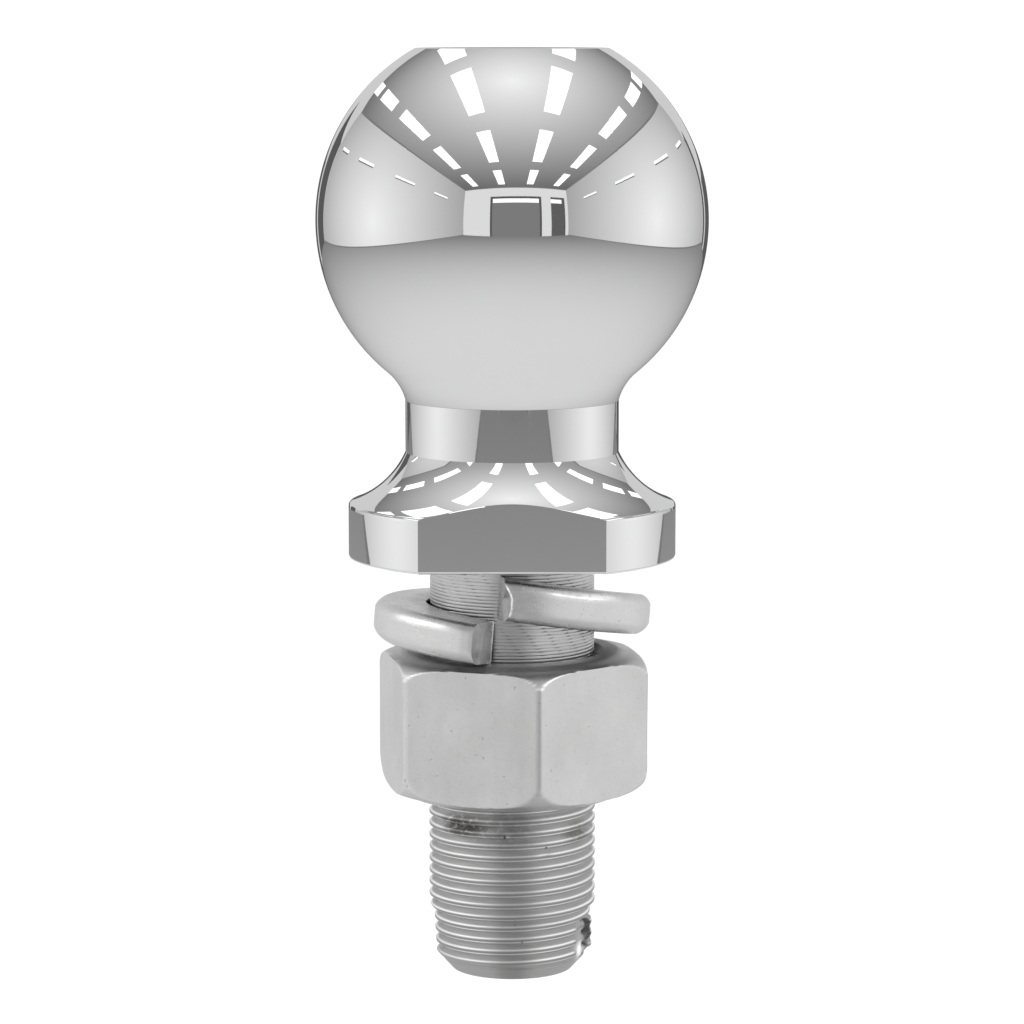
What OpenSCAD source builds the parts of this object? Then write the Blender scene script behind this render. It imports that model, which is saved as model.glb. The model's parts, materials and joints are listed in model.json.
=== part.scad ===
// Trailer hitch with ball: a one-piece forged ball and shank, a split lock washer and a hex nut.
// Millimetres. The origin is at the centre of the collar's underside, and +Z points up through the
// ball. The washer and nut are drawn run up the shank, just below the collar.

/* [Ball and neck] */
// Diameter of the coupling ball (2-5/16 in)
ball_d = 58.74; // [52:0.01:60]
// Height of the ball's centre above the collar's underside
ball_z = 50.5; // [49:0.1:56]
// Height of the flat top above the ball's centre
ball_flat_h = 25.6; // [23:0.1:28]
// Diameter of the neck
neck_d = 32.1; // [28:0.1:35]
// Radius of the fillet between neck and ball
neck_fillet_r = 4.6; // [2:0.1:5]

/* [Collar] */
// Outside diameter of the round collar
collar_d = 49.34; // [48:0.01:54]
// Height of the collar's straight side
collar_h = 7.7; // [6:0.1:9]
// Height at which the flare meets the neck
flare_top_z = 15.84; // [14:0.01:18]
// Radius of the hollow flare between collar and neck
flare_r = 14.3; // [12.5:0.1:18]
// Distance across the two wrench flats (1-5/8 in)
wrench_af = 41; // [39:0.1:44]
// Bevel around the collar's lower edge
collar_bevel = 0.4; // [0.2:0.1:0.8]

/* [Shank] */
// Diameter of the plain shank (1 in nominal)
shank_d = 24.88; // [24.8:0.01:25.1]
// Depth below the collar at which the thread runs out
plain_len = 14.3; // [14:0.1:14.5]
// Outside diameter of the thread (1 in, 14 turns to the inch)
thread_d = 25.26; // [25.2:0.01:25.35]
// Distance between one turn of the thread and the next
thread_pitch = 1.8143; // [1.81:0.0001:1.82]
// Depth of the thread's groove
thread_depth = 1.08; // [0.95:0.01:1.1]
// Diameter of the turned-down lead at the thread's end
lead_d = 23.8; // [23.4:0.1:24.6]
// Length of the turned-down lead
lead_len = 7.4; // [5:0.1:9]
// Distance from the collar's underside to the end of the shank
shank_len = 63.4; // [58:0.1:70]
// Diameter of the shank's end face
shank_end_d = 18.4; // [16:0.1:20]
// Height of the chamfer at the shank's end
shank_chamfer_h = 2.6; // [2.2:0.1:3.2]

/* [Lock washer] */
// Inside diameter
washer_id = 26.6; // [26.5:0.1:27.2]
// Outside diameter
washer_od = 41.6; // [40:0.1:43]
// Thickness of the bar at its inner side
washer_t_in = 6.3; // [5.8:0.01:6.4]
// Thickness of the bar at its outer side
washer_t_out = 5.9; // [5.4:0.01:6.3]
// Width of the bevel along the bar's outer edges
washer_bevel = 1.2; // [0.6:0.1:1.5]
// Rise of the bar from one end round to the other
washer_rise = 5.9; // [5.5:0.01:6.5]
// Lean of the loose washer, which stands on its lower end and on its far side
washer_lean = 6.45; // [0:0.05:7]
// Clear height between the washer and the collar
washer_gap = 2.03; // [2.02:0.01:3]

/* [Nut] */
// Distance across the nut's flats (1-1/2 in nominal, made to the low side of its tolerance)
nut_af = 37.35; // [36.85:0.05:38.1]
// Height of the nut
nut_h = 21.95; // [20:0.05:23]
// Turn of the nut's corners away from the collar's flats
nut_turn = 11.4; // [0:0.1:60]
// Clearance between the nut's thread and the shank's
thread_clearance = 0.15; // [0.13:0.01:0.17]

/* [Hidden] */

$fn = 96;
eps = 0.01;

ball_r = ball_d / 2;
ball_top_z = ball_z + ball_flat_h;
neck_r = neck_d / 2;
collar_r = collar_d / 2;
// The flare stops a little inside the collar's side, and a short bevel joins the two.
flare_edge = [collar_r - 0.39, collar_h + 0.56];
shank_r = shank_d / 2;

// Thread. The ridge has 60 degree flanks and a flat crest one eighth of a pitch wide.
turn_steps = 48;
step_angle = 360 / turn_steps;
flank = tan(30);
crest_r = thread_d / 2;
root_r = crest_r - thread_depth;
lead_r = lead_d / 2;
crest_half = thread_pitch / 16;
root_half = crest_half + thread_depth * flank;
thread_low_z = shank_chamfer_h - shank_len;
// Radius to which ridge and groove both fade where the thread runs out
runout_r = shank_r - 0.14;
// The threaded core reaches this far into the solids above and below it.
core_lap = 0.4;
lead_lap = 0.05;
// The chamfer's rim stands this far proud of the groove, inside the nut's clearance.
lead_proud = 0.08;
lead_slope_h = 1.2;
thread_steps = floor((-plain_len + core_lap - thread_low_z) / thread_pitch * turn_steps) - turn_steps;

// Lock washer
washer_steps = 90;
// The sheared ends open outwards. Angles are counted from the front (-Y) towards +X.
split_inner_angle = -11.1;
split_upper_angle = -1.3;
split_lower_angle = -16;
split_inner_half = 0.7;
// The washer leans up towards this direction, counted like the ends' angles.
lean_towards = -44.5;
// Its hole keeps this clear of the shank all the way down, in spite of the lean.
washer_play = 0.85;
washer_points = [for (s = [0:washer_steps], p = bar_outline()) leaned(bar_point(s / washer_steps, p))];
washer_heights = [for (p = washer_points) p[2]];
washer_shift = -washer_gap - max(washer_heights);
washer_low_z = washer_shift + min(washer_heights);

// Nut
nut_top_z = washer_low_z - 0.03;
nut_low_z = nut_top_z - nut_h;
nut_corner_r = nut_af / 2 / cos(30);
// The hexagon's shoulders are rounded to a barrel that just touches its corners.
nut_barrel_r = nut_corner_r - 0.05;
nut_shoulder_w = 3.25;
nut_top_shoulder = [2.6, 0.65];
nut_low_shoulder = [4.4, 1.05];
nut_top_face_r = 16.4;
nut_low_face_r = 16.2;
nut_top_sink_r = 13.9;
nut_top_sink_h = 4;
nut_low_sink_r = 13.6;
nut_low_sink_h = 2;

function polar(r, angle, z) = [r * cos(angle), r * sin(angle), z];
function ramp(x, x0, x1) = max(0, min(1, (x - x0) / (x1 - x0)));
function mix(a, b, t) = a + (b - a) * t;

// ---- Thread ----
// Point i, j of a threaded core: i counts steps along the helix, and j walks up one pitch of the
// outline: 0 groove's edge, 1 and 2 crest, 3 next groove's edge.
function ridge_z(i) = thread_low_z + root_half + thread_pitch * i / turn_steps;
function half_width(r) = crest_half + (crest_r - r) * flank;

// Height of a point from the ridge's middle, with the ridge made wider by grow on each side
function ridge_dz(j, r, grow) =
    let (foot = root_half + grow, tip = min(half_width(r) + 2 * grow, foot - 0.05))
    [-foot, -tip, tip, foot][j];

// Faces that close a threaded core between its two end planes. The strip has 4 points a step, then
// come the helix's last turn, the low ring and the high ring.
function strip_index(i, j, steps) = j < 4
    ? (i <= steps ? 4 * i + j : 4 * (steps + 1) + i - steps - 1)
    : strip_index(i + turn_steps, 0, steps);
function low_ring(i, steps) = i % turn_steps == 0
    ? 0
    : 4 * (steps + 1) + turn_steps + i - 1;
function high_ring(i, steps) = i % turn_steps == 0
    ? strip_index(steps + turn_steps, 0, steps)
    : 4 * (steps + 1) + 2 * turn_steps - 1 + i - 1;

module threaded_core(first, steps, grow, crest_at, groove_at) {
    n = turn_steps;
    low_z = ridge_z(first) - root_half - grow;
    high_z = ridge_z(first + steps + n) - root_half - grow;
    points = concat(
        [for (i = [0:steps], j = [0:3])
            let (k = first + i, r = (j == 1 || j == 2) ? crest_at[i] : groove_at[i + (j == 3 ? n : 0)])
            polar(r, k * step_angle, ridge_z(k) + ridge_dz(j, crest_at[i], grow))],
        [for (i = [steps + 1:steps + n])
            polar(groove_at[i], (first + i) * step_angle, ridge_z(first + i) - root_half - grow)],
        [for (i = [1:n - 1]) polar(groove_at[i], (first + i) * step_angle, low_z)],
        [for (i = [1:n - 1])
            polar(groove_at[steps + i], (first + steps + i) * step_angle, high_z)]
    );
    flanks = [for (i = [0:steps - 1], j = [0:3], half = [0, 1])
        let (
            a = strip_index(i, j, steps),
            b = strip_index(i + 1, j, steps),
            c = strip_index(i + 1, j + 1, steps),
            d = strip_index(i, j + 1, steps)
        )
        half == 0 ? [a, c, b] : [a, d, c]];
    low_side = concat(
        [[0, strip_index(1, 0, steps), low_ring(1, steps)]],
        [for (i = [1:n - 2])
            [low_ring(i, steps), strip_index(i, 0, steps), strip_index(i + 1, 0, steps),
                low_ring(i + 1, steps)]],
        [[low_ring(n - 1, steps), strip_index(n - 1, 0, steps), strip_index(n, 0, steps), 3, 2, 1, 0]]
    );
    s = steps;
    high_side = concat(
        [[strip_index(s + 1, 0, s), strip_index(s, 0, s), strip_index(s, 1, s), strip_index(s, 2, s),
            strip_index(s, 3, s), high_ring(0, s), high_ring(1, s)]],
        [for (i = [1:n - 2])
            [strip_index(s + i, 0, s), high_ring(i, s), high_ring(i + 1, s), strip_index(s + i + 1, 0, s)]],
        [[strip_index(s + n - 1, 0, s), high_ring(n - 1, s), high_ring(0, s)]]
    );
    low_cap = [[for (i = [0:n - 1]) low_ring(i, s)]];
    high_cap = [[for (i = [n - 1:-1:0]) high_ring(i, s)]];
    polyhedron(points, concat(flanks, low_side, high_side, low_cap, high_cap), convexity = 10);
}

module shank_thread() {
    steps = thread_steps;
    n = turn_steps;
    lead_top = thread_low_z + lead_len;
    // The crest rises from the chamfer, follows the turned-down lead, then fades out at the top.
    crests = [for (i = [0:steps])
        let (
            full = mix(lead_r, crest_r, ramp(ridge_z(i), lead_top - lead_slope_h, lead_top)),
            started = mix(root_r, full, ramp(i, 0, n / 4))
        )
        mix(started, runout_r, ramp(i, steps - n / 2, steps))];
    grooves = [for (i = [0:steps + n]) mix(root_r, runout_r, ramp(i, steps - n / 2, steps))];
    threaded_core(0, steps, 0, crests, grooves);
}

// Cuts the nut's thread: the shank's ridge grown by the clearance and carried past both faces.
module nut_thread_cutter() {
    n = turn_steps;
    grow = thread_clearance * flank;
    first = floor((nut_low_z - 2.5 - thread_low_z) / thread_pitch * n);
    steps = ceil((nut_h + 2) / thread_pitch * n);
    groove = root_r + thread_clearance;
    crest = crest_r + thread_clearance;
    crests = [for (i = [0:steps]) mix(groove, crest, min(ramp(i, 0, n / 4), ramp(i, steps, steps - n / 4)))];
    grooves = [for (i = [0:steps + n]) groove];
    threaded_core(first, steps, grow, crests, grooves);
}

// ---- Forging: ball, neck, collar and shank ----
module ball_outline() {
    intersection() {
        translate([0, ball_z]) circle(r = ball_r);
        square([ball_d, ball_top_z]);
    }
}

module neck_fillet_outline() {
    reach = ball_r + neck_fillet_r;
    out = neck_r + neck_fillet_r;
    low_z = ball_z - sqrt(reach * reach - out * out);
    touch = [out * ball_r / reach, ball_z - (ball_z - low_z) * ball_r / reach];
    difference() {
        polygon([[neck_r - 1, low_z], [out, low_z], touch, [neck_r - 1, touch[1]]]);
        translate([out, low_z]) circle(r = neck_fillet_r);
    }
}

module collar_outline() {
    // Centre of the flare's arc, outside the line from the neck to the collar's edge
    run = flare_edge[0] - neck_r;
    drop = flare_top_z - flare_edge[1];
    chord = sqrt(run * run + drop * drop);
    rise = sqrt(flare_r * flare_r - chord * chord / 4);
    centre = [
        (neck_r + flare_edge[0]) / 2 + rise * drop / chord,
        (flare_top_z + flare_edge[1]) / 2 + rise * run / chord
    ];
    // The rim's bevel and the neck run on a little way into the arc, so that each crosses it cleanly.
    rim = flare_edge + (flare_edge - [collar_r, collar_h]) / 2;
    difference() {
        polygon([
            [0, 0],
            [collar_r - collar_bevel, 0],
            [collar_r, collar_bevel],
            [collar_r, collar_h],
            rim,
            [rim[0], flare_top_z + 1],
            [0, flare_top_z + 1]
        ]);
        translate(centre) circle(r = flare_r);
    }
}

module wrench_flats() {
    for (side = [-1, 1])
        translate([-collar_d, side > 0 ? wrench_af / 2 : -collar_d - wrench_af / 2, -1])
            cube([2 * collar_d, collar_d, flare_top_z]);
}

module threaded_shank() {
    shank_thread();
    // Lead-in chamfer at the shank's end
    rotate_extrude() polygon([
        [0, -shank_len],
        [shank_end_d / 2, -shank_len],
        [root_r + lead_proud, thread_low_z + lead_lap],
        [0, thread_low_z + lead_lap]
    ]);
}

module hitch_ball() {
    color("gainsboro") {
        difference() {
            rotate_extrude() {
                ball_outline();
                neck_fillet_outline();
                square([neck_r, ball_z]);
                collar_outline();
                translate([0, -plain_len]) square([shank_r, plain_len + 1]);
            }
            wrench_flats();
        }
        threaded_shank();
    }
}

// ---- Lock washer ----
// Outline of the bar, from its lower inner corner round; height is counted from its middle.
function bar_outline() =
    let (
        r0 = washer_id / 2,
        r1 = washer_od / 2,
        hi = washer_t_in / 2,
        ho = washer_t_out / 2,
        b = washer_bevel
    )
    [
        [r0, -hi + 0.2],
        [r0 + 0.2, -hi],
        [r1 - b, -ho],
        [r1 - b * 0.38, -ho + b * 0.42],
        [r1, -ho + b * 1.4],
        [r1, ho - b * 1.4],
        [r1 - b * 0.38, ho - b * 0.42],
        [r1 - b, ho],
        [r0 + 0.2, hi],
        [r0, hi - 0.2]
    ];

// Angle of the sheared end at radius r, for the lower end (t = 0) or the upper end (t = 1)
function end_angle(r, t) =
    let (out = ramp(r, washer_id / 2, washer_od / 2))
    t == 0
        ? mix(split_inner_angle - split_inner_half, split_lower_angle, out)
        : mix(split_inner_angle + split_inner_half, split_upper_angle, out);

// Point p of the bar's outline at the share t of the way along the bar. From the lower end the bar
// runs clockwise, seen from above, and rises to the upper end.
function bar_point(t, p) =
    let (angle = mix(end_angle(p[0], 0), end_angle(p[0], 1) - 360, t))
    [p[0] * sin(angle), -p[0] * cos(angle), washer_rise * (t - 0.5) + p[1]];

// The same point once the washer leans: it turns about a level line through the washer's middle.
// The hole's wall is then eased outwards to its clearance.
function leaned(p) =
    let (
        up = [sin(lean_towards), -cos(lean_towards)],
        along = p[0] * up[0] + p[1] * up[1],
        moved = along * cos(washer_lean) - p[2] * sin(washer_lean),
        flat = [p[0] + (moved - along) * up[0], p[1] + (moved - along) * up[1]],
        eased = flat * max(1, (shank_r + washer_play) / norm(flat))
    )
    [eased[0], eased[1], along * sin(washer_lean) + p[2] * cos(washer_lean)];

module lock_washer() {
    count = len(bar_outline());
    sides = [for (s = [0:washer_steps - 1], j = [0:count - 1], half = [0, 1])
        let (
            next = (j + 1) % count,
            a = s * count + j,
            b = s * count + next,
            c = (s + 1) * count + next,
            d = (s + 1) * count + j
        )
        half == 0 ? [a, c, b] : [a, d, c]];
    low_end = [[for (j = [0:count - 1]) j]];
    high_end = [[for (j = [count - 1:-1:0]) washer_steps * count + j]];
    color("silver") translate([0, 0, washer_shift])
        polyhedron(washer_points, concat(sides, low_end, high_end), convexity = 6);
}

// ---- Nut ----
// Rounded shoulder of the barrel: its height is shape[0], and it starts shape[1] in from the face.
function shoulder(face_z, side, shape, angles) = [for (a = angles) [
    nut_barrel_r - nut_shoulder_w * (1 - sin(a)),
    face_z + side * (shape[1] + shape[0] * (1 - cos(a)))
]];

module nut_blank() {
    intersection() {
        translate([0, 0, nut_low_z]) rotate([0, 0, nut_turn + 30])
            cylinder(r = nut_corner_r, h = nut_h, $fn = 6);
        rotate_extrude() polygon(concat(
            [[0, nut_low_z], [nut_low_face_r, nut_low_z]],
            shoulder(nut_low_z, 1, nut_low_shoulder, [0:15:90]),
            shoulder(nut_top_z, -1, nut_top_shoulder, [90:-15:0]),
            [[nut_top_face_r, nut_top_z], [0, nut_top_z]]
        ));
    }
}

module nut_countersinks() {
    groove = root_r + thread_clearance;
    rotate_extrude() {
        polygon([
            [0, nut_top_z + eps],
            [nut_top_sink_r, nut_top_z + eps],
            [groove - 0.2, nut_top_z - nut_top_sink_h],
            [0, nut_top_z - nut_top_sink_h]
        ]);
        polygon([
            [0, nut_low_z - eps],
            [nut_low_sink_r, nut_low_z - eps],
            [groove - 0.2, nut_low_z + nut_low_sink_h],
            [0, nut_low_z + nut_low_sink_h]
        ]);
    }
}

module hex_nut() {
    color("lightgray") difference() {
        nut_blank();
        nut_countersinks();
        nut_thread_cutter();
    }
}

hitch_ball();
lock_washer();
hex_nut();
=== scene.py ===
import json
import math

import bmesh
import bpy
import numpy as np
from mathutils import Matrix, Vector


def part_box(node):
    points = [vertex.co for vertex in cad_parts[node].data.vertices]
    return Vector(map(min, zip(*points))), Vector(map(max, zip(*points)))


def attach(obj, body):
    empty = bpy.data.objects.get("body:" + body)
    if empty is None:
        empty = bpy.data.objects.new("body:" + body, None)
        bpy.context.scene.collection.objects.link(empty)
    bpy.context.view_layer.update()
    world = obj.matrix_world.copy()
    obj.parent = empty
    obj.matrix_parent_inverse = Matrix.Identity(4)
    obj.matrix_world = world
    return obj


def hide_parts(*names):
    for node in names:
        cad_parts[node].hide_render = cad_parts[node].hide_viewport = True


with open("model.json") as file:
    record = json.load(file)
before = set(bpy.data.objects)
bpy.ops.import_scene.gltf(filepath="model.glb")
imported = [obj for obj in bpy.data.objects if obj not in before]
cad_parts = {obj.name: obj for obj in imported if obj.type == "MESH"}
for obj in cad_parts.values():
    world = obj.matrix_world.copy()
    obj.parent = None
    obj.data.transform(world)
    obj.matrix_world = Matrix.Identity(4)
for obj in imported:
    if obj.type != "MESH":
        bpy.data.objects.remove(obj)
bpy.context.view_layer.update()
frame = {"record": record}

MM = 0.001
INCH = 25.4 * MM

# ---- Driving dimensions, in metres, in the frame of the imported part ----
CAD_LOW, CAD_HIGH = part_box("hitch_ball")
NUT_LOW, NUT_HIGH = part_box("hex_nut")
WASHER_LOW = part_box("lock_washer")[0]
MOUNTS = {m["name"]: m for m in frame["record"]["mounts"]}

BALL_R = MOUNTS["ball"]["dims"]["r_mm"] * MM
BALL_Z = MOUNTS["ball"]["pos_m"][2]
TOP_Z = CAD_HIGH.z
END_Z = CAD_LOW.z
NECK_R = 16.05 * MM
CREASE_Z = 23.65 * MM                  # where the ball's fillet meets the neck
CREASE_TURN = math.radians(15)         # and at what angle
FLARE_TOP_Z = 15.84 * MM
FLARE_R = 14.3 * MM                    # the hollow's own radius
COLLAR_R = 24.67 * MM
COLLAR_H = 7.7 * MM
RIM_R = 0.39 * MM                      # width and height of the collar's rounded upper edge
RIM_H = 0.56 * MM
FLAT_Y = 20.5 * MM                     # the wrench flats' distance from the axis
SHANK_R = MOUNTS["shank"]["dims"]["r_mm"] * MM
PLAIN_LEN = MOUNTS["shank"]["dims"]["length_mm"] * MM

PITCH = INCH / 14
CREST_R = 12.63 * MM
ROOT_R = CREST_R - 1.08 * MM
FLANK = math.tan(math.radians(30))
CREST_HALF = 0.20 * MM
ROOT_HALF = PITCH / 16 + (CREST_R - ROOT_R) * FLANK
LEAD_R = 11.9 * MM                     # the turned-down lead, at its top and its foot
LEAD_LOW_R = 11.56 * MM
LEAD_TOP_Z = END_Z + 10.0 * MM
CHAMFER_Z = END_Z + 2.6 * MM
END_R = 9.2 * MM
THREAD_CLEARANCE = 0.15 * MM

NUT_AF = 37.35 * MM                    # across the flats
NUT_CORNER_ANGLE = math.radians(11.4)
NUT_BARREL_R = 21.52 * MM
NUT_TOP_SINK = (13.9 * MM, 3.2 * MM)   # a countersink's radius at the face, and its depth
NUT_LOW_SINK = (13.6 * MM, 2.0 * MM)
NUT_SINK_END_R = 11.5 * MM
FLOOR_Z = -0.122                       # clear of the unscrewed nut
COLUMNS = 240
COLUMN_ANGLES = np.linspace(0, 2 * math.pi, COLUMNS + 1)   # the last is the first again

# The photo's camera, fitted to the outlines
CAMERA_AWAY = 0.5513
CAMERA_Z = 0.07876
CAMERA_TILT = math.radians(7.48)
CAMERA_LENS = 129.44
CAMERA_SHIFT = (-0.00010, 0.00110)


# ---- Small helpers ----
def smooth_min(a, b, k):
    """The lesser of a and b, rounded over a width k where they cross."""
    h = np.clip(0.5 + 0.5 * (b - a) / k, 0, 1)
    return b + (a - b) * h - k * h * (1 - h)


def smooth_max(a, b, k):
    """The greater of a and b, rounded in the same way."""
    return -smooth_min(-a, -b, k)


def ramp(x, x0, x1):
    """0 up to x0, 1 from x1 on, and straight between."""
    return np.clip((x - x0) / (x1 - x0), 0, 1)


def ease(x, x0, x1):
    """The same, with soft ends."""
    t = ramp(x, x0, x1)
    return t * t * (3 - 2 * t)


def ripple(a, b, seed, waves=7):
    """Smooth irregular values near -1..1 over two coordinates, the same on every run."""
    rng = np.random.default_rng(seed)
    total = np.zeros(np.broadcast(a, b).shape)
    for _ in range(waves):
        fa, fb = rng.uniform(-1, 1, 2)
        total = total + np.sin(fa * a + fb * b + rng.uniform(0, 2 * math.pi))
    return total / waves ** 0.5 / 1.4


def bell(x, middle, width):
    """1 at the middle, falling off smoothly to both sides."""
    return np.exp(-(((x - middle) / width) ** 2))


def wrap_angle(angle):
    """The same angle, in radians, between -pi and pi."""
    return (angle + math.pi) % (2 * math.pi) - math.pi


def around(points):
    """Angle of each point round the axis, counted from the front (-Y)."""
    return np.arctan2(points[:, 0], -points[:, 1])


def cylinder_points(r, angle, z):
    """Points at a radius, an angle from the front and a height."""
    return np.stack(np.broadcast_arrays(r * np.sin(angle), -r * np.cos(angle), z), -1).reshape(-1, 3)


def grid_faces(rows, columns, wrap=True):
    """Quads between successive rings of a grid stored row by row."""
    faces = []
    last = columns if wrap else columns - 1
    for i in range(rows - 1):
        a = i * columns
        for j in range(last):
            k = (j + 1) % columns
            faces.append((a + j, a + k, a + columns + k, a + columns + j))
    return faces


def new_object(name, data):
    """A new object in the scene."""
    made = bpy.data.objects.new(name, data)
    bpy.context.scene.collection.objects.link(made)
    return made


def build_piece(name, verts, faces, node, material, sharp, wear_and_highlight=None, grime_and_shade=None):
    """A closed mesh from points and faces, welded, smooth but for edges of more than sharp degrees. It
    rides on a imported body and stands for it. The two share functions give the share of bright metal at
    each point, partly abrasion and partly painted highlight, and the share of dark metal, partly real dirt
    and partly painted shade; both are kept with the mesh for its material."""
    mesh = bpy.data.meshes.new(name)
    mesh.from_pydata(np.asarray(verts, float).tolist(), [], faces)
    bm = bmesh.new()
    bm.from_mesh(mesh)
    bmesh.ops.remove_doubles(bm, verts=bm.verts, dist=1.5e-6)
    bmesh.ops.dissolve_degenerate(bm, edges=bm.edges, dist=1e-7)
    bmesh.ops.recalc_face_normals(bm, faces=bm.faces)
    for face in bm.faces:
        face.smooth = True
    limit = math.radians(sharp)
    for edge in bm.edges:
        edge.smooth = len(edge.link_faces) != 2 or edge.calc_face_angle(0) < limit
    bm.to_mesh(mesh)
    bm.free()
    points = np.empty(3 * len(mesh.vertices))
    mesh.vertices.foreach_get("co", points)
    for label, share in (("wear_and_highlight", wear_and_highlight), ("grime_and_shade", grime_and_shade)):
        if share:
            values = np.clip(share(points.reshape(-1, 3)), 0, 1).astype(np.float32)
            mesh.attributes.new(label, "FLOAT", "POINT").data.foreach_set("value", values)
    mesh.materials.append(material)
    piece = new_object(name, mesh)
    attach(piece, node)
    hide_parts(node)


# ---- Materials ----
class Nodes:
    """Builds a material's node tree with short calls."""

    def __init__(self, name):
        self.material = bpy.data.materials.new(name)
        self.material.use_nodes = True
        self.tree = self.material.node_tree
        self.tree.nodes.clear()

    def add(self, kind, inputs=None, **settings):
        node = self.tree.nodes.new(kind)
        for key, value in settings.items():
            setattr(node, key, value)
        for key, value in (inputs or {}).items():
            if isinstance(value, bpy.types.NodeSocket):
                self.tree.links.new(value, node.inputs[key])
            else:
                node.inputs[key].default_value = value
        return node

    def math(self, operation, a, b=0.0):
        return self.add("ShaderNodeMath", {0: a, 1: b}, operation=operation).outputs[0]

    def vector(self, operation, a, b=(0, 0, 0), out=0):
        return self.add("ShaderNodeVectorMath", {0: a, 1: b}, operation=operation).outputs[out]

    def scaled(self, vector, factor):
        node = self.add("ShaderNodeVectorMath", {0: vector, "Scale": factor}, operation="SCALE")
        return node.outputs[0]

    def noise(self, place, scale, detail=4.0, rough=0.55):
        return self.add(
            "ShaderNodeTexNoise",
            {"Vector": place, "Scale": scale, "Detail": detail, "Roughness": rough},
        ).outputs["Fac"]

    def remap(self, value, x0, x1, y0, y1, smooth=False):
        return self.add(
            "ShaderNodeMapRange",
            {"Value": value, "From Min": x0, "From Max": x1, "To Min": y0, "To Max": y1},
            interpolation_type="SMOOTHSTEP" if smooth else "LINEAR",
        ).outputs["Result"]

    def mix(self, factor, a, b):
        """Mix of two colours."""
        return self.add("ShaderNodeMix", {0: factor, 6: a, 7: b}, data_type="RGBA").outputs[2]

    def place(self, stretch=(1, 1, 1)):
        """Object position in millimetres, stretched."""
        coords = self.add("ShaderNodeTexCoord").outputs["Object"]
        return self.vector("MULTIPLY", coords, tuple(s / MM for s in stretch))

    def ray_start(self):
        """Where the present ray set out from."""
        spot = self.add("ShaderNodeNewGeometry")
        length = self.add("ShaderNodeLightPath").outputs["Ray Length"]
        return self.vector("ADD", spot.outputs["Position"], self.scaled(spot.outputs["Incoming"], length))

    def started_above(self):
        """1 for a ray that set out above the collar's underside."""
        height = self.add("ShaderNodeSeparateXYZ", {"Vector": self.ray_start()}).outputs["Z"]
        return self.math("GREATER_THAN", height, 0.2 * MM)

    def finish(self, shader, skip_head=False):
        """Ends the tree. With skip_head the surface is left out of what the polished head mirrors."""
        if skip_head:
            glossy = self.add("ShaderNodeLightPath").outputs["Is Glossy Ray"]
            hidden = self.math("MULTIPLY", glossy, self.started_above())
            clear = self.add("ShaderNodeBsdfTransparent").outputs[0]
            shader = self.add("ShaderNodeMixShader", {0: hidden, 1: shader, 2: clear}).outputs[0]
        self.add("ShaderNodeOutputMaterial", {"Surface": shader})
        return self.material


def metal_with_painted_glow(n, glow, inputs):
    """Ends a tree with metal that gives off a little light of its own, a painted glow, as strong as glow."""
    metal = n.add("ShaderNodeBsdfPrincipled", inputs).outputs["BSDF"]
    # Painted glow: emission that brightens the marked places beyond what the lights give.
    light = n.add("ShaderNodeEmission", {"Color": (1, 1, 1, 1), "Strength": glow}).outputs[0]
    both = n.add("ShaderNodeAddShader", {0: metal, 1: light}).outputs[0]
    return n.finish(both, skip_head=True)


def grey(value, warm=0.0):
    """A grey colour, slightly warm or cold."""
    return (value + warm, value, value - warm, 1)


def chrome_material():
    """Mirror chrome with a faint haze and polishing marks."""
    n = Nodes("mirror_chrome")
    place = n.place()
    haze = n.noise(place, 0.11, 5, 0.6)
    polish = n.noise(n.place((1, 1, 14)), 0.5, 3, 0.6)
    rough = n.math("ADD", n.remap(haze, 0.35, 0.7, 0.010, 0.028), n.remap(polish, 0.4, 0.7, 0, 0.012))
    tint = n.mix(haze, grey(0.93, -0.004), grey(0.965, -0.002))
    bump = n.add(
        "ShaderNodeBump", {"Strength": 0.02, "Distance": 0.00002, "Height": n.noise(place, 0.35, 2, 0.5)}
    )
    shader = n.add(
        "ShaderNodeBsdfPrincipled",
        {
            "Base Color": tint,
            "Metallic": 1.0,
            "Roughness": rough,
            "Normal": bump.outputs["Normal"],
        },
    )
    return n.finish(shader.outputs["BSDF"], skip_head=True)


def scratches(n, stretch, scale, low, high):
    """Thin lines where a stretched noise passes its middle value."""
    value = n.noise(n.place(stretch), scale, 2, 0.5)
    away = n.math("ABSOLUTE", n.math("SUBTRACT", value, 0.5))
    return n.remap(away, low, high, 1, 0)


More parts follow.
